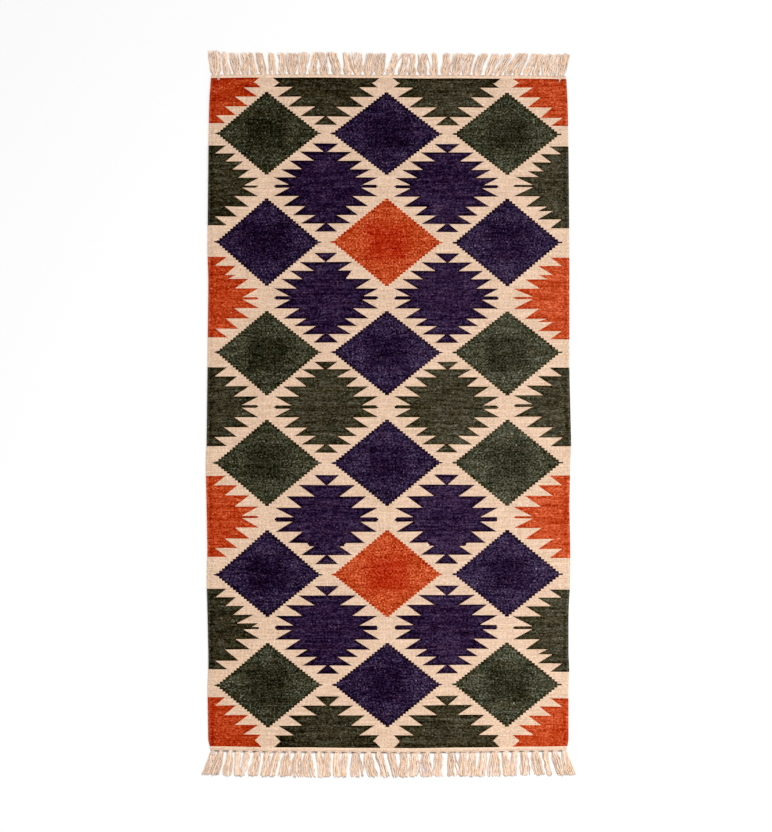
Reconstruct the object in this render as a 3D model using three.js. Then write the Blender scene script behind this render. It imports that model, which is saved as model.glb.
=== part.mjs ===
// A flat-woven cotton rug (dhurrie) lying flat: the woven cloth, and a comb of tassels along each end.
// Millimetres. X runs across the rug, +Y along it towards the far end, +Z up.
// The origin is on the underside, at the middle of the woven cloth.
import * as THREE from 'three';

// Driving dimensions of the cloth.
const WOVEN_LENGTH = 1500;     // nominal, between the tassel roots
const WOVEN_WIDTH = 800;       // nominal, selvedge to selvedge
const CLOTH_THICKNESS = 4;
const SELVEDGE_ROUND = 1.2;    // rounding of the cloth's edges, top and bottom

// The two ends. side: -1 or +1 along Y. line: from the rug's middle to the tassel roots at the selvedges.
// bow: how much further out the roots stand in the middle.
const FAR_END = { side: 1, line: 749.4, bow: 0.4 };
const NEAR_END = { side: -1, line: 746, bow: 4.6 };

// Driving dimensions of the fringes.
const TWINING_DEPTH = 3.2;     // row of twined yarn that holds the last weft, part of each comb
const COMB_THICKNESS = 3;
const ROOT_WIDTH = 10.5;       // a bundle of warp ends where it leaves the twining
const BODY_PLACE = 0.18;       // share of a tassel's length by which it has opened out
const BODY_WIDTH = 16;         // a bundle there
const TIP_GAP = 1.6;           // least opening between neighbours
const TIP_POINT = 2.5;         // the middle of a tip stands this much further out
const CORNER_INSET = 1;        // the twining stops this far short of the selvedge

const SEAT_GAP = 0.3;          // between the cloth and a comb that is sewn to it

// The selvedges wander: how far each one stands outside its nominal line, by place along the rug.
const SELVEDGES = [
  { along: -750, left: -5, right: -4 },
  { along: -736, left: -1, right: -1 },
  { along: -603, left: 1, right: -1 },
  { along: -570, left: -1, right: 1 },
  { along: -536, left: -1, right: -1 },
  { along: -437, left: 1, right: -1 },
  { along: -370, left: 3, right: 3 },
  { along: -304, left: 1, right: 3 },
  { along: -204, left: 3, right: 1 },
  { along: -104, left: 5, right: 3 },
  { along: -71, left: 3, right: 5 },
  { along: 95, left: 1, right: 1 },
  { along: 294, left: -1, right: 1 },
  { along: 361, left: 1, right: 1 },
  { along: 582, left: -1, right: -1 },
  { along: 693, left: -3, right: -3 },
  { along: 750, left: -7, right: -6 },
];

// How the tassels lie, from left to right. root: across the rug. lean: how far the tip lies to the right of it.
// width: at the tip. length: from the twining to the tip.
const NEAR_TASSELS = [
  { root: -388, lean: -18, width: 17, length: 53 },
  { root: -369, lean: -20, width: 17, length: 54 },
  { root: -351, lean: -5, width: 15, length: 55 },
  { root: -334, lean: -2, width: 10, length: 55 },
  { root: -312, lean: -13, width: 11, length: 55 },
  { root: -290, lean: -10, width: 18, length: 55 },
  { root: -268, lean: -7, width: 14, length: 55 },
  { root: -245, lean: -16, width: 14, length: 55 },
  { root: -222, lean: -13, width: 18, length: 55 },
  { root: -200, lean: -6, width: 18, length: 56 },
  { root: -177, lean: -2, width: 24, length: 56 },
  { root: -155, lean: 6, width: 13, length: 56 },
  { root: -136, lean: 0, width: 13, length: 55 },
  { root: -114, lean: -2, width: 13, length: 55 },
  { root: -95, lean: -7, width: 14, length: 55 },
  { root: -72, lean: 0, width: 22, length: 55 },
  { root: -46, lean: 9, width: 21, length: 55 },
  { root: -21, lean: 15, width: 14, length: 56 },
  { root: 5, lean: 12, width: 15, length: 55 },
  { root: 33, lean: 2, width: 17, length: 55 },
  { root: 58, lean: -5, width: 18, length: 54 },
  { root: 82, lean: 2, width: 19, length: 54 },
  { root: 111, lean: 0, width: 17, length: 54 },
  { root: 140, lean: -1, width: 18, length: 54 },
  { root: 165, lean: 2, width: 17, length: 54 },
  { root: 187, lean: -3, width: 17, length: 55 },
  { root: 211, lean: -6, width: 16, length: 55 },
  { root: 235, lean: 0, width: 24, length: 55 },
  { root: 258, lean: 3, width: 15, length: 55 },
  { root: 279, lean: -3, width: 15, length: 55 },
  { root: 300, lean: 4, width: 16, length: 54 },
  { root: 324, lean: 12, width: 22, length: 54 },
  { root: 347, lean: 9, width: 11, length: 54 },
  { root: 367, lean: 17, width: 19, length: 55 },
  { root: 388, lean: 16, width: 19, length: 55 },
];
const FAR_TASSELS = [
  { root: -383, lean: -2, width: 26, length: 51 },
  { root: -357, lean: -7, width: 12, length: 48 },
  { root: -336, lean: -6, width: 23, length: 46 },
  { root: -317, lean: -1, width: 14, length: 46 },
  { root: -296, lean: -10, width: 11, length: 46 },
  { root: -277, lean: -10, width: 19, length: 46 },
  { root: -256, lean: -4, width: 16, length: 46 },
  { root: -235, lean: -2, width: 13, length: 46 },
  { root: -214, lean: -1, width: 25, length: 46 },
  { root: -192, lean: 5, width: 16, length: 47 },
  { root: -169, lean: 8, width: 13, length: 47 },
  { root: -142, lean: -6, width: 12, length: 47 },
  { root: -114, lean: -10, width: 19, length: 47 },
  { root: -90, lean: -7, width: 11, length: 47 },
  { root: -68, lean: -5, width: 25, length: 47 },
  { root: -45, lean: 6, width: 24, length: 46 },
  { root: -22, lean: 9, width: 23, length: 46 },
  { root: 3, lean: 11, width: 14, length: 46 },
  { root: 28, lean: 12, width: 14, length: 46 },
  { root: 52, lean: 1, width: 13, length: 46 },
  { root: 76, lean: 0, width: 21, length: 46 },
  { root: 101, lean: 0, width: 12, length: 47 },
  { root: 125, lean: 2, width: 14, length: 47 },
  { root: 148, lean: 8, width: 25, length: 47 },
  { root: 170, lean: 15, width: 15, length: 46 },
  { root: 195, lean: 15, width: 20, length: 46 },
  { root: 219, lean: 20, width: 15, length: 46 },
  { root: 240, lean: 26, width: 19, length: 46 },
  { root: 262, lean: 27, width: 14, length: 47 },
  { root: 283, lean: 22, width: 14, length: 47 },
  { root: 304, lean: 19, width: 13, length: 46 },
  { root: 325, lean: 13, width: 16, length: 46 },
  { root: 345, lean: 12, width: 18, length: 46 },
  { root: 362, lean: 15, width: 14, length: 46 },
  { root: 381, lean: 12, width: 19, length: 47 },
];

// Reads one column of a table between its rows, in straight lines.
function readTable(table, key, column, at) {
  let upper = table.findIndex((row) => row[key] >= at);
  if (upper < 0) upper = table.length - 1;
  const high = table[upper];
  const low = table[Math.max(upper - 1, 0)];
  if (high === low) return high[column];
  const share = Math.min((at - low[key]) / (high[key] - low[key]), 1);
  return low[column] + share * (high[column] - low[column]);
}

// Distance from the rug's middle to the outer line of the twining, at a place across the rug.
function endLine(end, across) {
  const offCentre = across / (WOVEN_WIDTH / 2);
  return end.line + end.bow * (1 - offCentre * offCentre);
}

// X of a selvedge: side is -1 on the left and +1 on the right.
function selvedge(side, along) {
  const column = side < 0 ? 'left' : 'right';
  return side * (WOVEN_WIDTH / 2 + readTable(SELVEDGES, 'along', column, along));
}

// Points along an end of the cloth, left to right, set back from the end line.
function endPoints(end, setBack, inset) {
  const steps = 24;
  const left = selvedge(-1, end.side * WOVEN_LENGTH / 2) + inset;
  const right = selvedge(1, end.side * WOVEN_LENGTH / 2) - inset;
  const points = [];
  for (let i = 0; i <= steps; i += 1) {
    const x = left + (right - left) * i / steps;
    points.push(new THREE.Vector2(x, end.side * (endLine(end, x) - setBack)));
  }
  return points;
}

// The woven cloth: one flat slab with wandering selvedges and rounded edges.
function clothGeometry() {
  const setBack = TWINING_DEPTH + SEAT_GAP;
  const inner = SELVEDGES.slice(1, -1).map((row) => row.along);
  const leftSide = inner.map((y) => new THREE.Vector2(selvedge(-1, y), y));
  const rightSide = inner.map((y) => new THREE.Vector2(selvedge(1, y), y));
  const outline = [
    ...endPoints(NEAR_END, setBack, 0),
    ...rightSide,
    ...endPoints(FAR_END, setBack, 0).reverse(),
    ...leftSide.reverse(),
  ];
  const geometry = new THREE.ExtrudeGeometry(new THREE.Shape(outline), {
    depth: CLOTH_THICKNESS - 2 * SELVEDGE_ROUND,
    bevelEnabled: true,
    bevelThickness: SELVEDGE_ROUND,
    bevelSize: SELVEDGE_ROUND,
    bevelOffset: -SELVEDGE_ROUND,
    bevelSegments: 2,
  });
  geometry.translate(0, 0, SELVEDGE_ROUND);
  return geometry;
}

// Where a tassel's middle line lies across the rug, part of the way from its root to its tip.
function middleLine(tassel, share) {
  return tassel.root + tassel.lean * share;
}

// Half the width of a tassel, so that it stays clear of the neighbour on that side.
function reach(width, tassel, neighbour, share) {
  if (!neighbour) return width / 2;
  const apart = Math.abs(middleLine(neighbour, share) - middleLine(tassel, share));
  return Math.min(width / 2, (apart - TIP_GAP) / 2);
}

// A comb: the row of twining with its tassels lying outwards, as one flat solid.
function combGeometry(table, end) {
  const outline = endPoints(end, TWINING_DEPTH, CORNER_INSET).reverse();
  table.forEach((tassel, i) => {
    const before = table[i - 1];
    const after = table[i + 1];
    const tip = tassel.root + tassel.lean;
    const rootY = endLine(end, tassel.root);
    const bodyX = middleLine(tassel, BODY_PLACE);
    const bodyY = rootY + tassel.length * BODY_PLACE;
    const tipY = rootY + tassel.length;
    const sides = [
      [tassel.root - ROOT_WIDTH / 2, rootY],
      [bodyX - reach(BODY_WIDTH, tassel, before, BODY_PLACE), bodyY],
      [tip - reach(tassel.width, tassel, before, 1), tipY - TIP_POINT],
      [tip, tipY],
      [tip + reach(tassel.width, tassel, after, 1), tipY - TIP_POINT],
      [bodyX + reach(BODY_WIDTH, tassel, after, BODY_PLACE), bodyY],
      [tassel.root + ROOT_WIDTH / 2, rootY],
    ];
    sides.forEach(([x, y]) => outline.push(new THREE.Vector2(x, end.side * y)));
  });
  return new THREE.ExtrudeGeometry(new THREE.Shape(outline), { depth: COMB_THICKNESS, bevelEnabled: false });
}

function sewnPiece(name, geometry, color, roughness) {
  const material = new THREE.MeshStandardMaterial({ color, roughness, metalness: 0 });
  const mesh = new THREE.Mesh(geometry, material);
  mesh.name = name;
  return mesh;
}

const WOVEN_COLOUR = 0x6a4a3c;   // the dyes and the undyed ground, mixed
const UNDYED_COLOUR = 0xe0c0a4;

const group = new THREE.Group();
group.add(sewnPiece('woven_field', clothGeometry(), WOVEN_COLOUR, 0.95));
group.add(sewnPiece('fringe_far', combGeometry(FAR_TASSELS, FAR_END), UNDYED_COLOUR, 0.95));
group.add(sewnPiece('fringe_near', combGeometry(NEAR_TASSELS, NEAR_END), UNDYED_COLOUR, 0.95));

export default group;
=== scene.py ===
"""A flat-woven cotton rug (dhurrie) lying face up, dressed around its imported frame.

The cloth is one closed mesh whose columns are the warps. What each weft pick shows is worked out from a
short weaver's chart and carried on the mesh; the material turns it into stepped edges, yarn and beads of
weft. Each end has a row of twining and a fringe of two-ply tassels. Metres, unless a name says otherwise.
"""
import math
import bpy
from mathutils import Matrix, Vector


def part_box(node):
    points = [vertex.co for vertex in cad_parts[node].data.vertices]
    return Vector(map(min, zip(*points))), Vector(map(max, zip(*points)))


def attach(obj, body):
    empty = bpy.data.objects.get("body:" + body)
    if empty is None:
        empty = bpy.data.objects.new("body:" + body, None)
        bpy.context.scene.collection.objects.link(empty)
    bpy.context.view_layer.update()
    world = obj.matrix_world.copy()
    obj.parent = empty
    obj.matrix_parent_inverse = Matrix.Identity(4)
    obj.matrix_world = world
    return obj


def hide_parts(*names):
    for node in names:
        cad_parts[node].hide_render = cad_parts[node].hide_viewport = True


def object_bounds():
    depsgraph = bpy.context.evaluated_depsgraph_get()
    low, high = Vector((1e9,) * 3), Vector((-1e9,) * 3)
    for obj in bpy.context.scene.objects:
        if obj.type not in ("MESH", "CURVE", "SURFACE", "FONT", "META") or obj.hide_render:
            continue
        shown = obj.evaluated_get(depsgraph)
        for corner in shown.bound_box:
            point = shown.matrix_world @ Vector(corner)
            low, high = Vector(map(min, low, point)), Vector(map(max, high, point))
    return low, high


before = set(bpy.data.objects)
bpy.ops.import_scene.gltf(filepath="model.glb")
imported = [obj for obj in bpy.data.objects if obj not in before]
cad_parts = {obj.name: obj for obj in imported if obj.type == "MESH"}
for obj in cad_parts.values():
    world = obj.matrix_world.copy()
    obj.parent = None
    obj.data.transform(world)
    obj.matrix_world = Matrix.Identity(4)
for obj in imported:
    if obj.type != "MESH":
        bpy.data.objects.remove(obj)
from types import SimpleNamespace

import bpy
import numpy as np
from mathutils import Vector

MM = 0.001
CAD_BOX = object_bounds()
CLOTH_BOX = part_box("woven_field")

# ---- the weaver's chart
# Green, purple and orange as on a colour card: sRGB, 0 to 255. heart and rim: of a diamond.
DYES = {
    "G": {"heart": (43, 42, 28.5), "rim": (62.5, 60.5, 45), "medallion": (61, 56, 41.2)},
    "P": {"heart": (32, 16.5, 41), "rim": (47, 32, 56.5), "medallion": (45.5, 28.5, 54)},
    "O": {"heart": (170.5, 46.5, 17.5), "rim": (184.5, 71, 34), "medallion": (185.5, 70, 35)},
}
GROUND = (225, 192, 165)
YARN = (247, 219, 195)

WARPS = 264  # from selvedge to selvedge
REPEAT = 88  # warps from one medallion to the next
HALF_REPEAT = REPEAT // 2
PICK = 1.27  # mm, one pass of weft
DIAMOND_STEP = 2  # a diamond's edge steps by this many warps
DIAMOND_SHIFT = 0.5  # its axis runs along the middle of a warp
NO_REACH = -1.0
SPUR = 1.6  # warps by which the middle picks of a diamond reach further
SPUR_PHASE = 0.985  # the middle picks: nearer than this to the middle of a diamond

# Where the axes of the motifs lie across a rug of nominal width, one every half repeat (mm).
AXES_MM = (-400, -270.4, -137.6, -4.8, 130, 261.3, 400)
AXES_LEAN = (-1, -2.8, -2.9, -1.5, 1.1, 1, 0.5)  # mm to the right for each metre up the rug

# Plain diamonds, a row for each: middle, reach to the far and to the near side (mm), dyes left to right.
DIAMONDS = (
    (619.1, 93, 91.7, "GPG"), (378.8, 98.1, 98, "POP"), (135.2, 92.2, 96.9, "GPG"),
    (-109.6, 96.5, 96.6, "GPG"), (-356.9, 99.6, 95, "POP"), (-601.2, 94.1, 95, "GPG"),
)
DIAMOND_REACH = ((37.9, 38.8), (39.7, 38.7), (39.5, 37.2))  # warps to the left and right, by column

# Teeth of half a medallion, from its middle outwards: reach in warps at each one's inner and outer side.
TEETH = {
    "cut": [(34.6, 39.2)],
    "end": [(34, 38.6), (24.3, 35.6), (17.8, 28.1), (7.8, 19), (1, 8.8)],
    "five": [(26.2, 38.2), (19.8, 31.3), (14.5, 23.4), (8, 18.5), (1.3, 8.6)],
    "five_wide": [(27.2, 38.2), (21.8, 33), (17.5, 26.8), (9, 19.3), (1, 9.3)],
    "four": [(24.7, 38), (18.7, 29.8), (9.2, 21), (1, 9.3)],
    "four_notched": [(25, 37.2), (18, 28.4), (14.1, 12.8), (9.2, 18.9), (1.2, 8.7)],
    "left": [(26, 38.4), (20.5, 31.3), (13.2, 22.6), (5.5, 14.7)],
    "left_five": [(27.2, 38.5), (23.4, 32.1), (18.3, 26.4), (13.3, 21), (5.2, 13.7)],
    "left_sliver": [(26, 38.2), (20.7, 30.8), (15.4, 21.2), (13, 21.2), (4.8, 14.5)],
    "left_short": [(33.1, 38), (21.6, 34.2), (19.4, 27.9), (13.6, 21), (6.1, 14.1)],
    "left_end": [(35.4, 39.5), (26.3, 37.3), (20, 30.5), (12, 20.9), (5.5, 12.8)],
    "right": [(25.8, 39), (19.6, 30.9), (12.2, 22.4), (5.8, 14.4)],
    "right_five": [(26, 38.7), (21.2, 28.9), (18.5, 27), (12.8, 20.7), (4.9, 13.3)],
    "right_sliver": [(25.6, 39.2), (20.9, 31), (15.4, 22.1), (11.7, 22.3), (5.4, 13.4)],
    "right_end": [(34.5, 39.6), (24.9, 35.6), (19.7, 28.9), (11.8, 20.2), (4.1, 12.4)],
}
BAR_REACH = {"left": 38.3, "inner": 38.1, "right": 39.1}
BAR_POINT = 1.2  # warps by which the outer picks of a bar fall short of its middle ones


def motif(middle, bar, far, near):
    """middle: mm. bar: half its height. far and near: which teeth, and the outer side of each, in picks."""
    return {"middle": middle, "bar": bar, "far": far, "near": near}


# Serrated medallions, a row for each: dyes, the half at the left selvedge, the whole ones, the right half.
MEDALLIONS = [
    ("OGGO",
     motif(730.9, 0, ("cut", (9,)), ("left_end", (8, 24, 41, 56.5, 70))),
     motif(732.1, 0, ("cut", (9,)), ("end", (8, 25, 42.5, 59.5, 74))),
     motif(733.2, 0, ("cut", (9,)), ("right_end", (8.5, 25.5, 43, 61, 75)))),
    ("GPPG",
     motif(501.8, 2, ("left_five", (15.5, 29.5, 43.5, 57.5, 71.5)), ("left", (17, 35, 52.5, 68))),
     motif(502.4, 2.8, ("five_wide", (15.5, 29.5, 44.5, 60, 74.5)), ("five", (17.5, 35, 50.5, 65, 79))),
     motif(504.2, 2, ("right_five", (16, 26, 41.5, 56, 69.5)), ("right_sliver", (18, 36, 44, 58.5, 74)))),
    ("OPPO",
     motif(254.4, 2, ("left_sliver", (17.5, 34, 40.5, 56.5, 72)), ("left", (17, 35, 53, 68))),
     motif(255.5, 3.1, ("five_wide", (16.5, 33, 47.5, 62.5, 78.5)), ("five", (18.5, 36, 49, 63.5, 78))),
     motif(255.6, 2, ("right_sliver", (16.5, 32.5, 40, 56, 70.5)),
           ("right_sliver", (19, 36.5, 42, 58, 72)))),
    ("GGGG",
     motif(14.9, 2.5, ("left", (17.5, 35.5, 52.5, 68.5)), ("left", (19, 36.5, 53, 69))),
     motif(14.1, 3, ("five", (18.5, 36, 52, 66, 79)), ("five", (18, 36, 50.5, 65.5, 79.5))),
     motif(17, 2.5, ("right", (18, 35, 51.5, 66.5)), ("right", (19.5, 38, 55.5, 71)))),
    ("OPPO",
     motif(-229.2, 2, ("left", (18, 37.5, 55, 71.5)), ("left", (18.5, 37.5, 54, 69.5))),
     motif(-235.1, 4, ("four", (20.5, 40.5, 60.5, 78)), ("four_notched", (21.5, 41, 46.5, 62, 77.5))),
     motif(-230.3, 2, ("right", (18.5, 37.5, 56, 72.5)), ("right", (18.5, 38, 55.5, 71.5)))),
    ("GPPG",
     motif(-474.9, 2, ("left_short", (8.5, 23.5, 39, 54, 68.5)), ("left", (19, 37, 56.5, 71.5))),
     motif(-474.5, 4, ("four", (21, 39.5, 56.5, 73)), ("five", (20.5, 38, 51, 66, 80.5))),
     motif(-475.3, 2.5, ("right", (20, 37.5, 52.5, 66.5)), ("right_sliver", (20.5, 38, 46.5, 62.5, 77)))),
    ("OGGO",
     motif(-725.6, 0, ("left_end", (11.5, 28.5, 46, 63, 77.5)), ("cut", (11,))),
     motif(-727.4, 0, ("end", (11.5, 28.5, 46.5, 63.5, 79.5)), ("cut", (11,))),
     motif(-727.5, 0, ("right_end", (11, 28.5, 45, 61, 75.5)), ("cut", (11,)))),
]
# One tooth was woven short, with a single long pick under it.
SHORT_TOOTH = {"tooth": (2, "far", 2), "axis": 1, "side": 1, "reach": (14.6, 19.0)}
SLIP = 0.3  # warps by which the teeth differ from their chart
TEETH_SEED = 11

# ---- the ends
# Tassels from left to right, as on the combs: root across the rug, lean, width at the tip, length (mm).
NEAR_TASSELS = (
    (-388, -18, 17, 53), (-369, -20, 17, 54), (-351, -5, 15, 55), (-334, -2, 10, 55), (-312, -13, 11, 55),
    (-290, -10, 18, 55), (-268, -7, 14, 55), (-245, -16, 14, 55), (-222, -13, 18, 55), (-200, -6, 18, 56),
    (-177, -2, 24, 56), (-155, 6, 13, 56), (-136, 0, 13, 55), (-114, -2, 13, 55), (-95, -7, 14, 55),
    (-72, 0, 22, 55), (-46, 9, 21, 55), (-21, 15, 14, 56), (5, 12, 15, 55), (33, 2, 17, 55),
    (58, -5, 18, 54), (82, 2, 19, 54), (111, 0, 17, 54), (140, -1, 18, 54), (165, 2, 17, 54),
    (187, -3, 17, 55), (211, -6, 16, 55), (235, 0, 24, 55), (258, 3, 15, 55), (279, -3, 15, 55),
    (300, 4, 16, 54), (324, 12, 22, 54), (347, 9, 11, 54), (367, 17, 19, 55), (388, 16, 19, 55),
)
FAR_TASSELS = (
    (-383, -2, 26, 51), (-357, -7, 12, 48), (-336, -6, 23, 46), (-317, -1, 14, 46), (-296, -10, 11, 46),
    (-277, -10, 19, 46), (-256, -4, 16, 46), (-235, -2, 13, 46), (-214, -1, 25, 46), (-192, 5, 16, 47),
    (-169, 8, 13, 47), (-142, -6, 12, 47), (-114, -10, 19, 47), (-90, -7, 11, 47), (-68, -5, 25, 47),
    (-45, 6, 24, 46), (-22, 9, 23, 46), (3, 11, 14, 46), (28, 12, 14, 46), (52, 1, 13, 46),
    (76, 0, 21, 46), (101, 0, 12, 47), (125, 2, 14, 47), (148, 8, 25, 47), (170, 15, 15, 46),
    (195, 15, 20, 46), (219, 20, 15, 46), (240, 26, 19, 46), (262, 27, 14, 47), (283, 22, 14, 47),
    (304, 19, 13, 46), (325, 13, 16, 46), (345, 12, 18, 46), (362, 15, 14, 46), (381, 12, 19, 47),
)

# The cord twined round the warps, which holds the last weft. set_back: from the roots to its middle. pitch:
# of its twist. dashes: how many times its painted shade comes up on its way across, if not all along.
TWINED = {"set_back": 1.5 * MM, "height": 2.15 * MM, "radius": 1.6 * MM, "pitch": 6.5 * MM, "dashes": 0}

# line: from the rug's middle to the tassel roots at the selvedges. bow: how much further out they stand in
# the middle. band: undyed weft inside that line. fade: how far in from the band the bow is felt.
# root and joined: a tassel's width at its root and where it meets its neighbours, as shares of the way to the
# next. opens and sharply: how soon it gets there. parts: where it has its own width again, from body to tip
# as shares of its tip's. extra: loose ends beyond the comb. crossing: the share of outer strands that end in
# the next tassel. paler: painted light on its roots, and a paler tone along the rest of it. cords: the twined
# one and how much painted shade it has, and one across the roots.
# At the far end the twined cord is darkened with painted shade along the cloth's edge, and the roots are
# painted lighter.
FAR_END = {
    "name": "far_tassels", "side": 1, "line": 749.4 * MM, "bow": 0.4 * MM, "band": 7.2 * MM, "fade": 20 * MM,
    "root": 0.38, "joined": 0.99, "opens": 0.15, "sharply": 1.8, "parts": 0.42, "body": 0.97, "tip": 0.93,
    "extra": 1.6 * MM, "crossing": 0.06, "paler": 0.16, "seed": 5, "tassels": FAR_TASSELS,
    "cords": ({**TWINED, "shade": 0.46}, {"set_back": 0.1 * MM, "height": MM, "radius": 0.9 * MM,
                                          "pitch": 9 * MM, "shade": 0, "dashes": 0}),
}
# At the near end a second cord lies over the tassel roots, darkened in dashes: painted shadow under the
# cloth's edge between the tassels.
NEAR_END = {
    "name": "near_tassels", "side": -1, "line": 746 * MM, "bow": 4.6 * MM, "band": 9.4 * MM, "fade": 32 * MM,
    "root": 0.42, "joined": 0.8, "opens": 0.14, "sharply": 1, "parts": 0.4, "body": 1.12, "tip": 1.1,
    "extra": 0.4 * MM, "crossing": 0.03, "paler": 0, "seed": 6, "tassels": NEAR_TASSELS,
    "cords": ({**TWINED, "shade": 0}, {**TWINED, "set_back": -0.9 * MM, "height": 2.6 * MM,
                                       "radius": 1.1 * MM, "shade": 1.3, "dashes": 36}),
}

# Where the dyed part begins and ends (mm from the rug's middle), its own middle, and half its length (picks).
DYED_FROM = -(NEAR_END["line"] + NEAR_END["bow"] - NEAR_END["band"]) / MM
DYED_TO = (FAR_END["line"] + FAR_END["bow"] - FAR_END["band"]) / MM
DYED_MIDDLE = (DYED_FROM + DYED_TO) / (2 * PICK)
DYED_HALF = (DYED_TO - DYED_FROM) / (2 * PICK)

# Plain rows beyond the dyed part: distance in from the tassel roots (mm), share of the cloth's thickness,
# and share of the ridge.
END_ROWS = ((1.4, 0.1, 0), (1.6, 0.6, 0), (2.4, 0.86, 0.2), (3.6, 1, 0.8), (4.8, 1, 1), (6.2, 1, 0.9))

# ---- the cloth's lie and relief
# How the picks stray along the rug. lean: for each metre from its middle, one way on the left and the other
# on the right. axis: how near to its long axis that changes over. spent: the length before the near end over
# which the lean dies out. waver: slight waves.
DRIFT = {"lean": 1.6 * MM, "axis": 0.15, "spent": 0.1, "waver": 0.25 * MM}
PUCKER = 0.16 * MM  # height of the slight swells in the lying cloth
RIB = 0.35 * MM  # groove between two warps
GROUP_TURN = 6  # warps over which the rows of one group of medallions turn into the next group's
FIRST_COLUMN = 0.15  # warps from a selvedge to the first column inside it
SELVEDGE_PULL = 30  # warps over which a selvedge draws the cloth with it
EDGE_ROUND = 2.4 * MM  # how far in from a selvedge the cloth reaches its thickness
SELVEDGE_CORD = 2.4  # warps that stand together along a selvedge, with a groove beside them
CORD_GROOVE = 0.45 * MM
CORD_GROOVE_WIDTH = 0.6  # warps
END_RIDGE = 0.6 * MM  # the plain weft stands up along each end
MAP_MARGIN = 0.01  # empty edge of the flat map

# ---- the fringe
LANES = 6  # strands side by side in a tassel
LAYERS = 2
UPPER_LANES = (0.86, 0.1)  # the upper layer is narrower, and a little to the right
TIP_EDGE = 0.4  # share of a tip's width from its middle to where strands from the next tassel end
NEAR_ENOUGH = 20 * MM  # how far a strand may stray to the next tassel
SHORTER = 1.6 * MM  # the outer strands of a tassel, than its middle ones
NARROWEST = 3 * MM  # strip over which a tassel's strands are spread
STRAND_RADIUS = 1.35 * MM
STRAND_POINTS = 37
STRAND_SIDES = 6
TWO_PLY = (1.16, 0.86)  # a strand's radius over its two yarns and between them, as shares
TWIST_PITCH = 9 * MM
ROOT_DEPTH = 1.2 * MM  # how far inside the root line a strand starts
ROOT_HEIGHT = 1.9 * MM
ROOT_SPREAD = 0.7 * MM  # between the upper and the lower layer at the roots
FALL = 0.22  # share of its length over which a strand comes down to the floor
CORNER_INSET = MM

# How single strands differ. lane, length and radius: as shares of their own. strays: the share of them that
# leave their place, and by how much. waves and wave: how many bends, and how wide. bend: of a whole tassel.
VARIED = {"lane": 0.22, "strays": 0.05, "stray": 4 * MM, "waves": (0.8, 2.8), "wave": (0.3 * MM, 1.6 * MM),
          "tassel_wave": 1.5 * MM, "bend": (1.0, 1.35), "length": 0.014, "radius": 0.06}

# Dashes of painted shadow on the near cord across the roots.
DASH_SHARE = 0.7  # of the way from one dash to the next
DASH_EDGE = 0.1
CORD_POINTS = 3.4  # for each turn of a cord

# Loose ends of yarn that lie over the cloth's far corners, from and to (mm).
TUCKED_ENDS = (
    ((-374.5, 750), (-375.8, 737.2)), ((-377.5, 750), (-378.2, 739)), ((376.5, 750), (377, 738.5)),
    ((379.6, 750.5), (378.6, 732.8)), ((382.8, 750), (380.8, 737)),
)
TUCKED_POINTS = 9
TUCKED_TWIST = 11 * MM  # length over which such an end is twisted


# ---- outline, read from the frame
def selvedge_lines():
    """The cloth's two long edges on the frame's solid: (y, x) of the left one and of the right one."""
    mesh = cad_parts["woven_field"].data
    points = np.array([v.co[:] for v in mesh.vertices])
    low, high = CLOTH_BOX[0][2], CLOTH_BOX[1][2]
    wall = points[np.abs(points[:, 2] - (low + high) / 2) < 0.3 * (high - low)]
    lines = []
    for side in (-1, 1):
        outer = wall[np.sign(wall[:, 0]) == side]
        outer = outer[np.abs(outer[:, 0]) > 0.96 * np.abs(outer[:, 0]).max()]
        order = np.argsort(outer[:, 1])
        lines.append((outer[order, 1], outer[order, 0]))
    return lines


LEFT_LINE, RIGHT_LINE = selvedge_lines()
HALF_WIDTH = (RIGHT_LINE[1].max() - LEFT_LINE[1].min()) / 2


def selvedges(y):
    return np.interp(y, *LEFT_LINE), np.interp(y, *RIGHT_LINE)


def weft_drift(x, y):
    """How far the picks stray along the rug."""
    lean = -DRIFT["lean"] * np.tanh(x / DRIFT["axis"]) * y
    lean = np.where(y < 0, lean * np.clip((NEAR_END["line"] + y) / DRIFT["spent"], 0, 1), lean)
    return lean + DRIFT["waver"] * (np.sin(17 * x + 5 * y + 1) + np.sin(41 * x - 9 * y + 2))


def root_line(end, x):
    """Distance from the rug's middle to the tassel roots, at a place across the rug."""
    drift = end["side"] * weft_drift(x, end["side"] * end["line"])
    return end["line"] + end["bow"] * (1 - np.square(x / HALF_WIDTH)) + drift


# ---- the chart as strips of cloth
GROUPS = ("left", "inner", "right")


def half_strips(entry, side):
    """(inner pick, outer pick, inner reach, outer reach) of each tooth on one side of a medallion."""
    kind, sides = entry[side]
    strips, at = [], entry["bar"]
    for (inner, outer), to in zip(TEETH[kind], sides):
        strips.append((at, to, inner, outer))
        at = to
    return strips


def even_out(halves):
    """Splits the deepest strips, so that the groups have the same number of them."""
    count = max(len(h) for h in halves)
    for strips in halves:
        while len(strips) < count:
            k = int(np.argmax([s[1] - s[0] for s in strips]))
            a, b, inner, outer = strips[k]
            half, reach = (a + b) / 2, (inner + outer) / 2
            strips[k:k + 1] = [(a, half, inner, reach), (half, b, reach, outer)]
    return halves


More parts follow.
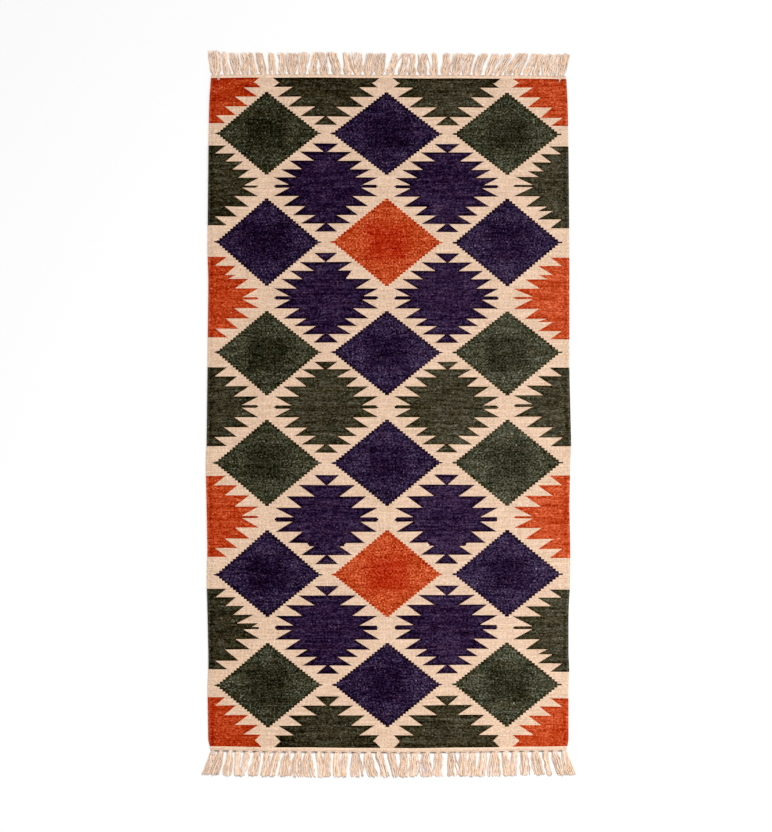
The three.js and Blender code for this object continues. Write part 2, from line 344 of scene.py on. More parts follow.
def chart_strips():
    """For each group, strips from the near end to the far end: (low y, high y, reach at low, at high, tooth).

    mm and warps. tooth: (medallion row, half, number from the middle or "bar"), half None between medallions.
    """
    out = {group: [] for group in GROUPS}
    for row in reversed(range(len(MEDALLIONS))):
        motifs = MEDALLIONS[row][1:]
        near, far = (even_out([half_strips(m, side) for m in motifs]) for side in ("near", "far"))
        for place_in_row, (group, near_strips, far_strips) in enumerate(zip(GROUPS, near, far)):
            own, strips = motifs[place_in_row], out[group]
            middle, bar = own["middle"], own["bar"] * PICK
            for k in reversed(range(len(near_strips))):
                a, b, inner, outer = near_strips[k]
                strips.append((middle - b * PICK, middle - a * PICK, outer, inner, (row, "near", k)))
            if bar:
                reach, point = BAR_REACH[group], BAR_REACH[group] - BAR_POINT
                strips.append((middle - bar, middle, point, reach, (row, "near", "bar")))
                strips.append((middle, middle + bar, reach, point, (row, "far", "bar")))
            for k, (a, b, inner, outer) in enumerate(far_strips):
                strips.append((middle + a * PICK, middle + b * PICK, inner, outer, (row, "far", k)))
            if row:
                centre = DIAMONDS[row - 1][0]
                nxt = MEDALLIONS[row - 1][1 + place_in_row]
                gap_end = nxt["middle"] - nxt["near"][1][-1] * PICK
                strips.append((strips[-1][1], centre, NO_REACH, NO_REACH, (row, None, None)))
                strips.append((centre, gap_end, NO_REACH, NO_REACH, (row, None, None)))
    return out


STRIPS = chart_strips()


def end_rows(end):
    """The plain rows of an end, from its roots inwards: y (mm), thickness share and ridge share."""
    outermost = (end["line"] + end["bow"]) / MM
    return [(end["side"] * (outermost - inset), thick, ridge) for inset, thick, ridge in END_ROWS]


def cloth_rows():
    """Rows of vertices from the near end to the far: y for each group (mm), thickness and ridge shares."""
    starts, ends = end_rows(NEAR_END), end_rows(FAR_END)[::-1]
    y = {}
    for group in GROUPS:
        inner = [DYED_FROM, *(s[1] for s in STRIPS[group][:-1]), DYED_TO]
        y[group] = np.array([r[0] for r in starts] + inner + [r[0] for r in ends])
    shares = [r[1:] for r in starts] + [(1.0, 0.0)] * len(inner) + [r[1:] for r in ends]
    thick, ridge = np.array(shares).T
    return y, thick, ridge


# ---- the woven cloth
def ring_warps():
    """Warp positions round the cloth: over the face from left to right, then back under it."""
    last = WARPS - FIRST_COLUMN
    face = [0.0, FIRST_COLUMN, *np.arange(0.5, WARPS, 0.5), last, float(WARPS)]
    back = [last, *np.arange(WARPS - 1, 0, -1), FIRST_COLUMN]
    return np.array(face), np.array(back, float)


def puckers(x, y):
    return PUCKER * (np.sin(31 * x + 4 * np.sin(9 * y)) * np.sin(27 * y + 3 * np.sin(7 * x))
                     + 0.6 * np.sin(71 * x - 13 * y) * np.sin(57 * y + 17 * x))


def lie_of(warp, y):
    """Where the vertices of each warp lie across the rug, and where the two selvedges are there."""
    left, right = selvedges(y)
    at_axes = np.arange(len(AXES_MM)) * HALF_REPEAT
    nominal = (np.interp(warp, at_axes, AXES_MM) + np.interp(warp, at_axes, AXES_LEAN) * y) * MM
    # The warps run straight inside the cloth. Only those by the selvedges follow their wandering.
    off_left = left - (AXES_MM[0] + AXES_LEAN[0] * y) * MM
    off_right = right - (AXES_MM[-1] + AXES_LEAN[-1] * y) * MM
    pull_left, pull_right = np.exp(-warp / SELVEDGE_PULL), np.exp(-(WARPS - warp) / SELVEDGE_PULL)
    return nominal + off_left * pull_left + off_right * pull_right, left, right


def cloth_points(warp, is_face):
    """Where each vertex lies, and the place along the chart (mm) that it stands for."""
    rows, thick, ridge = cloth_rows()
    thick, ridge = thick[:, None], ridge[:, None]
    to_left = np.clip((HALF_REPEAT + GROUP_TURN - warp) / (2 * GROUP_TURN), 0, 1)
    to_right = np.clip((warp - (WARPS - HALF_REPEAT - GROUP_TURN)) / (2 * GROUP_TURN), 0, 1)
    chart_y = (rows["left"][:, None] * to_left + rows["right"][:, None] * to_right
               + rows["inner"][:, None] * (1 - to_left - to_right))

    y = chart_y * MM
    x, left, right = lie_of(warp, y)
    for end in (FAR_END, NEAR_END):
        dyed_end = end["line"] + end["bow"] - end["band"]
        near_end = np.clip(1 - (dyed_end - end["side"] * y) / end["fade"], 0, 1)
        y = y - end["side"] * end["bow"] * np.square(x / HALF_WIDTH) * near_end
    y = y + weft_drift(x, y)

    low, high = CLOTH_BOX[0][2], CLOTH_BOX[1][2]
    middle = (low + high) / 2
    off_cord = (np.minimum(warp, WARPS - warp) - SELVEDGE_CORD) / CORD_GROOVE_WIDTH
    beside_cord = CORD_GROOVE * np.exp(-np.square(off_cord))
    groove_face = RIB * (0.5 + 0.5 * np.cos(2 * math.pi * warp)) + beside_cord
    groove_back = RIB * (0.5 + 0.5 * np.cos(math.pi * warp)) + beside_cord
    z = np.where(is_face, high - groove_face + END_RIDGE * ridge + puckers(x, y), low + groove_back)
    from_side = np.clip(np.minimum(x - left, right - x) / EDGE_ROUND, 0, 1)
    rounding = np.sqrt(np.clip(1 - np.square(1 - from_side), 0, 1))
    z = middle + (z - middle) * rounding * thick
    return np.stack([x, y, z], axis=-1), chart_y


def quad_corners(grid):
    """A grid's values at the corners of its quads. Its rows are closed rings."""
    after = np.roll(grid, -1, axis=1)
    return np.stack([grid[:-1], after[:-1], after[1:], grid[1:]], axis=-1)


def end_cap(face_ids, face_u, back_ids, back_u, flip):
    """Triangles that close an end between the last row of the face and the last row of the back."""
    out, i, j = [], 0, 0
    while i < len(face_ids) - 1 or j < len(back_ids) - 1:
        on_face = j == len(back_ids) - 1 or (i < len(face_ids) - 1 and face_u[i + 1] <= back_u[j + 1])
        triangle = (face_ids[i], back_ids[j], face_ids[i + 1] if on_face else back_ids[j + 1])
        i, j = (i + 1, j) if on_face else (i, j + 1)
        if len(set(triangle)) == 3:
            out.append(triangle[::-1] if flip else triangle)
    return out


def build_cloth():
    face, back = ring_warps()
    warp = np.concatenate([face, back])
    n_face, n_ring = len(face), len(warp)
    points, chart_y = cloth_points(warp, np.arange(n_ring) < n_face)
    ids = np.arange(chart_y.size).reshape(chart_y.shape)
    quads = quad_corners(ids).reshape(-1, 4)
    under = [0, *range(n_ring - 1, n_face - 1, -1), n_face - 1]
    caps = []
    for row, flip in ((0, False), (-1, True)):
        caps += end_cap(ids[row, :n_face], face, ids[row, under], warp[under], flip)

    cloth = add_mesh("woven_cloth", points.reshape(-1, 3).tolist(), quads.tolist() + caps)
    chart_onto(cloth.data, warp, chart_y, len(quads))
    unrolled_map(cloth.data, points, len(quads))
    return cloth


def medallion_reaches(middle_u):
    """Reach at the low and the high side of each strip, for each column of faces, and that column's axis."""
    rng = np.random.default_rng(TEETH_SEED)
    axis = np.clip(np.round(middle_u / REPEAT).astype(int), 0, len(AXES_MM) // 2)
    side = np.where(middle_u > axis * REPEAT, 1, -1)
    group = np.where(middle_u < HALF_REPEAT, 0, np.where(middle_u > WARPS - HALF_REPEAT, 2, 1))
    reaches = np.full((2, len(STRIPS["inner"]), len(middle_u)), NO_REACH)
    for number, name in enumerate(GROUPS):
        own = group == number
        for s, (_, _, at_low, at_high, tooth) in enumerate(STRIPS[name]):
            if tooth[1] is None:
                continue
            slip = rng.normal(0, SLIP, (len(AXES_MM) // 2 + 1, 2))[axis, (side > 0).astype(int)]
            reaches[:, s] = np.where(own, np.array([[at_low], [at_high]]) + slip, reaches[:, s])
            if tooth == SHORT_TOOTH["tooth"]:
                here = own & (axis == SHORT_TOOTH["axis"]) & (side == SHORT_TOOTH["side"])
                reaches[:, s] = np.where(here, np.array([SHORT_TOOTH["reach"]]).T, reaches[:, s])
    return *reaches, axis


def medallion_chart(middle_u, chart_y):
    """What each quad's corners carry of the medallions, and the letter of its dye."""
    low, high, axis = medallion_reaches(middle_u)
    dyed = slice(len(END_ROWS), len(END_ROWS) + len(low))  # the rows of quads that the chart fills
    teeth = [s[4] for s in STRIPS["inner"]]

    def on_corners(near_side, far_side, elsewhere):
        out = np.full((len(chart_y) - 1, len(middle_u), 4), elsewhere, float)
        out[dyed, :, :2] = near_side[..., None]
        out[dyed, :, 2:] = far_side[..., None]
        return out

    # The straight edge of a tooth, on its outer side: picks to it, and the warps from which it is bare, which
    # place painted shade along that edge.
    to_far = np.array([half == "far" for _, half, _ in teeth])[:, None]
    deep = np.diff(chart_y, axis=0)[dyed] / PICK
    nothing = np.full((1, len(middle_u)), NO_REACH)
    bare_from = np.where(to_far, np.vstack([low[1:], nothing]), np.vstack([nothing, high[:-1]]))
    corners = {"medallion_reach": on_corners(low, high, NO_REACH),
               "picks_off": on_corners(np.where(to_far, deep, 0), np.where(to_far, 0, deep), 0),
               "bare_from": on_corners(bare_from, bare_from, 0)}
    row = np.zeros(len(chart_y) - 1, int)
    row[dyed] = [t[0] for t in teeth]
    return corners, np.array([list(m[0]) for m in MEDALLIONS])[row][:, axis]


def diamond_chart(middle_u, chart_y):
    """What each quad's corners carry of the diamonds, and the letter of its dye.

    A diamond lies between the middles of two rows of medallions.
    """
    inner_y = chart_y[:, len(middle_u) // 4]  # along a column of the inner medallions
    strip_y = (inner_y[:-1] + inner_y[1:]) / 2
    row = np.abs(strip_y[:, None] - [d[0] for d in DIAMONDS]).argmin(axis=1)
    col = np.clip((middle_u // REPEAT).astype(int), 0, len(DIAMOND_REACH) - 1)
    on_right = (middle_u > (col + 0.5) * REPEAT + DIAMOND_SHIFT).astype(int)
    half = np.array(DIAMOND_REACH)[col, on_right][:, None]
    middle, far, near = np.array([d[:3] for d in DIAMONDS])[row].T[:, :, None, None]
    away = quad_corners(chart_y) - middle
    reach = half * (1 - np.where(strip_y[:, None, None] > middle, away / far, -away / near))
    return {"diamond_reach": reach}, np.array([list(d[3]) for d in DIAMONDS])[row][:, col]


def chart_onto(mesh, warp, chart_y, n_quads):
    """Carries the chart on the mesh: reaches on corners, dyes on faces, warp and pick on points."""
    middle_u = (warp + np.roll(warp, -1)) / 2
    medallion_corners, of_medallions = medallion_chart(middle_u, chart_y)
    diamond_corners, of_diamonds = diamond_chart(middle_u, chart_y)
    for name, values in {**medallion_corners, **diamond_corners}.items():
        flat = np.full(len(mesh.loops), NO_REACH, np.float32)
        flat[:n_quads * 4] = values.reshape(-1)
        add_attribute(mesh, name, "CORNER", flat)

    for tone, letters in (("medallion", of_medallions), ("heart", of_diamonds), ("rim", of_diamonds)):
        rgb = np.zeros(letters.shape + (3,))
        for letter, dye in DYES.items():
            rgb[letters == letter] = np.array(dye[tone]) / 255
        values = np.zeros((len(mesh.polygons), 3), np.float32)
        values[:n_quads] = rgb.reshape(-1, 3)
        add_attribute(mesh, tone + "_dye", "FACE", values)

    # The phase runs from 0 in the middle of a medallion to 1 in the middle of a diamond.
    centres = sorted([(m[2]["middle"], 0) for m in MEDALLIONS] + [(d[0], 1) for d in DIAMONDS])
    phase = np.interp(chart_y, *zip(*centres))
    weave = np.stack(np.broadcast_arrays(warp, chart_y / PICK, phase), axis=-1)
    add_attribute(mesh, "weave", "POINT", weave)


def add_object(name, data):
    thing = bpy.data.objects.new(name, data)
    bpy.context.collection.objects.link(thing)
    return thing


def add_mesh(name, points, faces):
    mesh = bpy.data.meshes.new(name)
    mesh.from_pydata(points, [], faces)
    return add_object(name, mesh)


def add_attribute(mesh, name, domain, values):
    kind, key = ("FLOAT_VECTOR", "vector") if values.ndim > 1 else ("FLOAT", "value")
    attribute = mesh.attributes.new(name, kind, domain)
    attribute.data.foreach_set(key, np.ascontiguousarray(values, np.float32).ravel())


def unrolled_map(mesh, points, n_quads):
    """A flat map of the cloth slit along one selvedge and opened out: face, edge and back side by side."""
    x, y = points[:, :, 0], points[:, :, 1]
    ring = points[len(points) // 2]
    around = np.concatenate([[0], np.cumsum(np.linalg.norm(np.roll(ring, -1, axis=0) - ring, axis=1))])
    u = MAP_MARGIN + (1 - 2 * MAP_MARGIN) * around / around[-1]
    v = MAP_MARGIN + (1 - 2 * MAP_MARGIN) * (y - y.min()) / (y.max() - y.min())
    u_corners = np.stack([u[:-1], u[1:], u[1:], u[:-1]], axis=-1)
    flat = np.zeros((len(mesh.loops), 2), np.float32)
    flat[:n_quads * 4] = np.stack(np.broadcast_arrays(u_corners, quad_corners(v)), axis=-1).reshape(-1, 2)

    loops = np.zeros(len(mesh.loops), np.int32)
    mesh.loops.foreach_get("vertex_index", loops)
    cap = loops[n_quads * 4:]
    flat[n_quads * 4:, 0] = MAP_MARGIN + (0.5 - MAP_MARGIN) * (x.ravel()[cap] - x.min()) / (x.max() - x.min())
    flat[n_quads * 4:, 1] = v.ravel()[cap]
    mesh.uv_layers.new(name="OFBake", do_init=False).uv.foreach_set("vector", flat.ravel())


# ---- the fringe
def strand_mesh(paths, radii, twists):
    """Two-ply strands. paths: strands x points x 3. radii and twists (turns): strands x points."""
    tangent = np.gradient(paths, axis=1)
    tangent /= np.linalg.norm(tangent, axis=2, keepdims=True)
    side = np.cross(tangent, np.array([0.0, 0.0, 1.0]))
    side /= np.maximum(np.linalg.norm(side, axis=2, keepdims=True), 1e-9)
    normal = np.cross(side, tangent)
    k = np.arange(STRAND_SIDES)
    angle = 2 * math.pi * (k / STRAND_SIDES + twists[..., None])
    r = radii[..., None] * np.where(k % (STRAND_SIDES // 2) == 0, *TWO_PLY)
    ring = paths[:, :, None, :] + r[..., None] * (np.cos(angle)[..., None] * side[:, :, None, :]
                                                  + np.sin(angle)[..., None] * normal[:, :, None, :])
    ids = np.arange(ring[..., 0].size).reshape(ring.shape[:3])
    nxt = np.roll(ids, -1, axis=2)
    quads = np.stack([ids[:, :-1], nxt[:, :-1], nxt[:, 1:], ids[:, 1:]], axis=-1).reshape(-1, 4)
    return ring.reshape(-1, 3), quads.tolist() + ids[:, -1].tolist() + ids[:, 0, ::-1].tolist()


def strand_width(own, end, inside):
    """How wide a tassel's strands are spread, at shares of the way from its roots to its tip."""
    opened = 1 - np.exp(-(inside / end["opens"]) ** end["sharply"])
    parted = np.clip(inside / end["parts"], 0, 1) ** 2
    later = own["body"] + (own["tip"] - own["body"]) * inside ** 2
    width = own["root"] + (own["joined"] + (later - own["joined"]) * parted - own["root"]) * opened
    return np.maximum(width - 2 * STRAND_RADIUS, NARROWEST)


def to_next_tassel(tips, tip_width, which, outwards):
    """How far each strand's tip is from the near side of the next tassel's tip."""
    neighbour = np.clip(which + outwards, 0, len(tips) - 1)
    gap = tips[neighbour] - outwards * TIP_EDGE * tip_width[neighbour] - tips[which]
    return gap - outwards * TIP_EDGE * tip_width[which]


def tassel_strands(end):
    """All the strands of a fringe. lane: from -1 to 1 across its tassel. layer: 0 below, 1 above."""
    rng = np.random.default_rng(end["seed"])
    root, lean, tip_width, length = np.array(end["tassels"], float).T * MM
    count, per_tassel = len(root), LANES * LAYERS
    n = count * per_tassel
    which = np.repeat(np.arange(count), per_tassel)
    layer = np.tile(np.repeat(np.arange(LAYERS), LANES), count)[:, None]
    lane = np.tile(np.linspace(-1, 1, LANES), count * LAYERS)[:, None]
    lane = np.where(layer, lane * UPPER_LANES[0] + UPPER_LANES[1], lane)
    t = np.linspace(-0.04, 1, STRAND_POINTS)[None, :]
    inside = np.clip(t, 0, 1)

    def of_strands(values):
        return values[which][:, None]

    spacing = np.gradient(root)
    own = {"root": spacing * end["root"], "joined": spacing * end["joined"],
           "body": tip_width * end["body"], "tip": tip_width * end["tip"]}
    width = strand_width({name: of_strands(values) for name, values in own.items()}, end, inside)
    strayed = lane + rng.normal(0, VARIED["lane"], (n, 1)) * inside
    strays = rng.random((n, 1)) < VARIED["strays"]
    stray = np.where(strays, rng.normal(0, VARIED["stray"], (n, 1)), 0) * inside ** 2
    phase = rng.random((n, 1))
    waves = rng.uniform(*VARIED["waves"], (n, 1))
    wave = rng.uniform(*VARIED["wave"], (n, 1)) * np.sin(2 * math.pi * (t * waves + phase))
    wave = wave * np.clip(4 * inside, 0, 1)
    tassel_wave = VARIED["tassel_wave"] * np.sin(5 * inside + 6.3 * of_strands(rng.random(count))) * inside
    bend = of_strands(rng.uniform(*VARIED["bend"], count))
    x = of_strands(root) + of_strands(lean) * inside ** bend + strayed * width / 2
    x = x + stray + wave + tassel_wave
    # A few outer strands end up in the next tassel, if that lies near.
    gap = to_next_tassel(root + lean, tip_width, which, np.sign(lane[:, 0]).astype(int))
    crosses = (np.abs(lane[:, 0]) > 0.5) & (np.abs(gap) < NEAR_ENOUGH) & (rng.random(n) < end["crossing"])
    x = x + (gap * crosses)[:, None] * inside ** 1.3

    length = length + end["extra"]
    start = of_strands(root_line(end, root)) - ROOT_DEPTH
    own_length = of_strands(length) * (1 + rng.normal(0, VARIED["length"], (n, 1))) - SHORTER * lane ** 2
    y = end["side"] * (start + (own_length + ROOT_DEPTH) * inside + length.mean() * np.minimum(t, 0))

    # From the cloth's edge the strands come down to the floor, one layer on the other.
    lying = STRAND_RADIUS * (1.1 + layer * (1.5 - 0.4 * inside)) + 0.2 * MM * (1 + np.sin(9 * t + 6 * phase))
    at_root = ROOT_HEIGHT + ROOT_SPREAD * (layer - 0.5)
    fall = np.clip(inside / FALL, 0, 1)
    z = at_root + (lying - at_root) * fall * fall * (3 - 2 * fall)

    radii = STRAND_RADIUS * (1 + rng.normal(0, VARIED["radius"], (n, 1)))
    radii = radii * (1 + 0.05 * np.sin(17 * t + 6 * phase)) * (0.75 + 0.25 * np.clip(inside * 8, 0, 1))
    radii[:, -1] *= 0.55
    points, faces = strand_mesh(np.stack([x, y, z], axis=-1), radii, own_length * t / TWIST_PITCH + phase)
    per_strand = STRAND_POINTS * STRAND_SIDES
    tone = np.repeat(rng.normal(0, 1, n), per_strand)
    # Painted light on the roots, and a paler tone along the rest of each strand.
    shade = -end["paler"] * (0.35 + 0.65 * np.exp(-inside / 0.07))
    shade = np.tile(np.repeat(shade.ravel(), STRAND_SIDES), n)
    # The third value marks the lower layer, which is given painted shade.
    return points, faces, np.stack([shade, tone, np.repeat(1.0 - layer[:, 0], per_strand)], axis=-1)


def cord_strand(cord, end):
    """A cord along an end, with painted shade all along or in dashes."""
    left, right = selvedges(end["side"] * end["line"])
    inset = CORNER_INSET + cord["radius"]
    count = int((right - left) / cord["pitch"] * CORD_POINTS)
    x = np.linspace(left + inset, right - inset, count)
    y = end["side"] * (root_line(end, x) - cord["set_back"])
    path = np.stack([x, y, np.full_like(x, cord["height"])], axis=-1)[None]
    radii = np.full((1, count), cord["radius"])
    radii[:, [0, -1]] *= 0.4
    points, faces = strand_mesh(path, radii, ((x - x[0]) / cord["pitch"])[None])
    yarn = np.zeros((len(points), 3))
    yarn[:, 0] = cord["shade"]
    if cord["dashes"]:
        # Painted shadow in evenly spaced dashes across the roots.
        place = (x - x[0]) / (x[-1] - x[0]) * cord["dashes"]
        away = np.abs(place % 1 - 0.5)
        dark = np.clip((DASH_SHARE / 2 - away) / DASH_EDGE, 0, 1)
        yarn[:, 0] *= np.repeat(dark, STRAND_SIDES)
    return points, faces, yarn


def tucked_strand(ends, phase):
    """A loose end of yarn that lies over the cloth."""
    share = np.linspace(0, 1, TUCKED_POINTS)[:, None]
    path = np.array(ends[0]) * (1 - share) + np.array(ends[1]) * share
    height = CLOTH_BOX[1][2] + STRAND_RADIUS * (0.4 + 0.3 * np.sin(math.pi * share))
    radii = np.full((1, TUCKED_POINTS), STRAND_RADIUS * 0.95)
    radii[:, -1] *= 0.5
    twists = share.T * TUCKED_TWIST / TWIST_PITCH + phase
    points, faces = strand_mesh(np.hstack([path * MM, height])[None], radii, twists)
    return points, faces, np.zeros((len(points), 3))


def build_fringe(end):
    parts = [tassel_strands(end), *(cord_strand(cord, end) for cord in end["cords"])]
    if end is FAR_END:
        parts += [tucked_strand(ends, k * 0.3) for k, ends in enumerate(TUCKED_ENDS)]
    faces, offset = [], 0
    for points, own_faces, _ in parts:
        faces += [[i + offset for i in face] for face in own_faces]
        offset += len(points)
    fringe = add_mesh(end["name"], np.vstack([p[0] for p in parts]).tolist(), faces)
    add_attribute(fringe.data, "yarn", "POINT", np.vstack([p[2] for p in parts]))
    return fringe


# ---- materials
GAMMA = 2.2
DARKEST = (0.01, 0.01, 0.01)
EVEN = (1, 1, 1)  # a tint that lightens every channel alike

# Soft noise over the cloth: how far it moves on for each warp and for each pick, its layer and its detail.
SOFT_NOISE = {
    "swell_place": (0.03, 0.03, 41, 2), "ripple_place": (0.6, 0.02, 47, 2), "band": (0.025, 0.09, 17, 1),
    "warp_streak": (0.5, 0.035, 5, 3), "patch": (0.04, 0.018, 9, 3), "core": (0.16, 0.07, 2, 2),
    "hue": (0.025, 0.25, 21, 3), "warmth": (0.09, 0.06, 31, 3),
}
WAVES = {"swell": (9, 0.48), "ripple": (24, 1.08)}  # how much noise bends them, and their turn for each pick
STREAK_PITCH = (0.05, 0.17)  # change of the streaks for each warp, in medallions and in diamonds
RIPPLE = (0.006, 0.032)  # strength of the ripples, in medallions and in diamonds
BLOCK = {"warps": 4, "picks": 23}  # as far as one pick, or one warp, keeps its own tone

# How strongly each of these shows in dyed and in undyed weft, as a share of full brightness.
DYED_GRAIN = {"bead": 0.19, "pick": 0.11, "warp": 0.03, "pick_streak": 0.28, "warp_streak": 0.03,
              "band": 0.12, "patch": 0.14, "salt": 0.16, "bead_shade": 0.06, "swell": 0.015, "ripple": 1}
# across: painted light, the dyes lighter towards the right selvedge. along and ends: darker towards the far
# end and towards both ends.
DYED_TONE = {"across": 0.03, "along": -0.008, "ends": -0.037, "selvedge": 1}
# The undyed weft takes the same painted light across the rug, more weakly.
PLAIN_TONE = {"bead": 0.09, "pick": 0.06, "pick_streak": 0.2, "warp_streak": 0.1, "patch": 0.06,
              "bead_shade": 0.06, "across": 0.012, "just_outside": 0.02, "open_ground": 0.014, "end_band": 0.04,
              "band_ridge_highlight": 0.03, "selvedge": 0.3}
# The grain is stronger in light dyes, and on a diamond's rim.
GRAIN_SHARE = {"rim": 0.18, "diamond": -0.05, "green": 0.75, "base": 0.73}
# Painted light on the cord of warps along each selvedge, and painted shade in the groove beside it.
SELVEDGE_SHADE = {"off_cord": -0.097, "off_groove": 0.062, "base": 0.035}
# Warps or picks over which these come in or die out, and where the ring inside a motif's edge lies.
FADE = {"groove": 3.2, "lip": 3.5, "outside": 2.22, "ground": 12, "straight": 5, "edge": 4}
RING = {"begins": 1.5, "comes_in": 2.5, "ends": 12.5, "dies_out": 6.25}
# The heart of a diamond: how far it reaches in warps and as a share of the phase, and how its edge wavers.
HEART = {"warps": 16, "phase": 0.33, "waver": 0.9, "from": 0.6, "steep": 1.6}
MEDALLION_TONE = (-0.008, 0.017)  # in its middle, and at the phase of a diamond's middle
EDGE_SHADE_TINT = (-0.085, -0.10, -0.135)  # painted shade along a motif's edge, where the dyes meet in slits
INNER_TINT = (-0.008, 0.001, 0.002)  # a few warps further in
WARMTH_TINT = (0.04, 0, -0.03)
GROUND_HUE = (0.03, 0.01, -0.07)

YARN_TONE = {"tone": 0.03, "fibre": 0.28, "blot": 0.3}
YARN_HUE = (0.04, 0, -0.1)
# Painted shade where a strand's or cord's shade is above nought, painted light where it is below.
YARN_SHADE = (-0.35, -0.33, -0.31)
YARN_UNDER_SHADE = (-0.01, -0.04, -0.05)  # painted shade on the lower layer, under the upper strands


def arithmetic(operation, swapped=False):
    """A method that adds the math node of an operator."""
    def apply(self, other):
        return self.nodes.math(operation, *((other, self) if swapped else (self, other)))
    return apply


class Value:
    """One output of a node. Arithmetic with it adds math nodes beside that node."""

    __add__ = arithmetic("ADD")
    __sub__ = arithmetic("SUBTRACT")
    __rsub__ = arithmetic("SUBTRACT", swapped=True)
    __mul__ = arithmetic("MULTIPLY")
    __truediv__ = arithmetic("DIVIDE")
    __mod__ = arithmetic("MODULO")
    __lt__ = arithmetic("LESS_THAN")
    __gt__ = arithmetic("GREATER_THAN")

    def __init__(self, nodes, socket):
        self.nodes, self.socket = nodes, socket

    def clamped(self):
        """The result of arithmetic, kept between 0 and 1."""
        self.socket.node.use_clamp = True
        return self


class Nodes:
    """Adds shader nodes to a material or a world, and wires them as they are called for."""

    def __init__(self, owner):
        self.owner = owner
        owner.use_nodes = True
        self.tree = owner.node_tree
        self.tree.nodes.clear()

    def node(self, kind, inputs, **settings):
        """Adds a node. Its inputs, by name or number, are numbers or the values of other nodes."""
        node = self.tree.nodes.new("ShaderNode" + kind)
        for name, value in settings.items():
            setattr(node, name, value)
        for key, value in inputs.items():
            if isinstance(value, Value):
                self.tree.links.new(value.socket, node.inputs[key])
            else:
                node.inputs[key].default_value = value
        return node

    def value(self, kind, inputs, output=0, **settings):
        return Value(self, self.node(kind, inputs, **settings).outputs[output])

    def math(self, operation, *values):
        return self.value("Math", dict(enumerate(values)), operation=operation)

    def floor(self, value):
        return self.math("FLOOR", value)

    def larger(self, first, second):
        return self.math("MAXIMUM", first, second)

    def between(self, share, low, high):
        """low where the share is 0, high where it is 1."""
        return self.math("MULTIPLY_ADD", share, high - low, low)

    def weighted(self, values, weights):
        """Sum of the named values, each times its weight."""
        total = 0.0
        for name, weight in weights.items():
            total = self.math("MULTIPLY_ADD", values[name], weight, total)
        return total

    def join(self, x, y, z=0.0):
        return self.value("CombineXYZ", {0: x, 1: y, 2: z})

    def split(self, vector):
        return [Value(self, socket) for socket in self.node("SeparateXYZ", {0: vector}).outputs]

    def attribute(self, name, output="Vector"):
        return self.value("Attribute", {}, output, attribute_name=name)

    def blend(self, share, first, second):
        return self.value("Mix", {"Factor": share, 4: first, 5: second}, 1, data_type="VECTOR")

    def tinted(self, colour, tint, amount):
        change = self.value("VectorMath", {0: tint, "Scale": amount}, operation="SCALE")
        return self.value("VectorMath", {0: colour, 1: change}, operation="ADD")

    def noise(self, place, scale=1.0, detail=2.0, roughness=0.5):
        """Soft noise about nought."""
        inputs = {"Vector": place, "Scale": scale, "Detail": detail, "Roughness": roughness}
        return self.value("TexNoise", inputs, "Fac") - 0.5

    def grain(self, *place):
        """Noise about nought that is even within a cell and differs from cell to cell."""
        inputs = {"Vector": self.join(*place)}
        return self.value("TexWhiteNoise", inputs, "Value", noise_dimensions="3D") - 0.5


def finish_cotton(n, card_colour, height, bump_distance, sheen):
    """Turns a colour written as on a colour card into a matt cotton surface."""
    card_colour = n.value("VectorMath", {0: card_colour, 1: DARKEST}, operation="MAXIMUM")
    shader = n.value("BsdfPrincipled", {
        "Base Color": n.value("Gamma", {"Color": card_colour, "Gamma": GAMMA}),
        "Normal": n.value("Bump", {"Strength": 0.8, "Distance": bump_distance, "Height": height}),
        "Roughness": 0.95, "Specular IOR Level": 0.02, "Sheen Weight": sheen, "Sheen Roughness": 0.5})
    n.node("OutputMaterial", {"Surface": shader})


def read_weave(n):
    """Which warp and which bead of weft a point lies on, and how high the bead stands there.

    Each pick passes over every second warp, so the beads on neighbouring warps are staggered.
    """
    warp, pick, phase = n.split(n.attribute("weave"))
    warp_number = n.floor(warp)
    bead_place = (pick + warp_number % 2) / 2
    across, along = (n.math("ABSOLUTE", n.math("SINE", place * math.pi)) for place in (warp, bead_place))
    return SimpleNamespace(warp=warp, pick=pick, phase=phase, warp_number=warp_number,
                           bead_number=n.floor(bead_place), bead=n.math("POWER", across * along, 0.5))


def read_motifs(n, weave):
    """Stepped motifs: a warp shows the dye where it lies within the motif's reach on this pick.

    beyond: warps past the nearest edge, less than 0 inside a motif. off_diamond: warps from a diamond's axis.
    """
    medallion_step = n.floor(n.math("PINGPONG", weave.warp, HALF_REPEAT)) + 0.5
    beyond_medallion = medallion_step - n.attribute("medallion_reach", "Fac")
    off_diamond = HALF_REPEAT - n.math("PINGPONG", weave.warp - DIAMOND_SHIFT, HALF_REPEAT)
    diamond_warp = n.floor(off_diamond + 0.5)
    diamond_step = n.floor(diamond_warp / DIAMOND_STEP) * DIAMOND_STEP + 0.5
    spur_step = diamond_warp - SPUR + (weave.phase < SPUR_PHASE) * WARPS
    beyond_diamond = n.math("MINIMUM", diamond_step, spur_step) - n.attribute("diamond_reach", "Fac")
    beyond = n.math("MINIMUM", beyond_medallion, beyond_diamond)
    return SimpleNamespace(medallion_step=medallion_step, off_diamond=off_diamond, beyond=beyond,
                           dyed=beyond < 0, in_medallion=beyond_medallion < 0, in_diamond=beyond_diamond < 0)


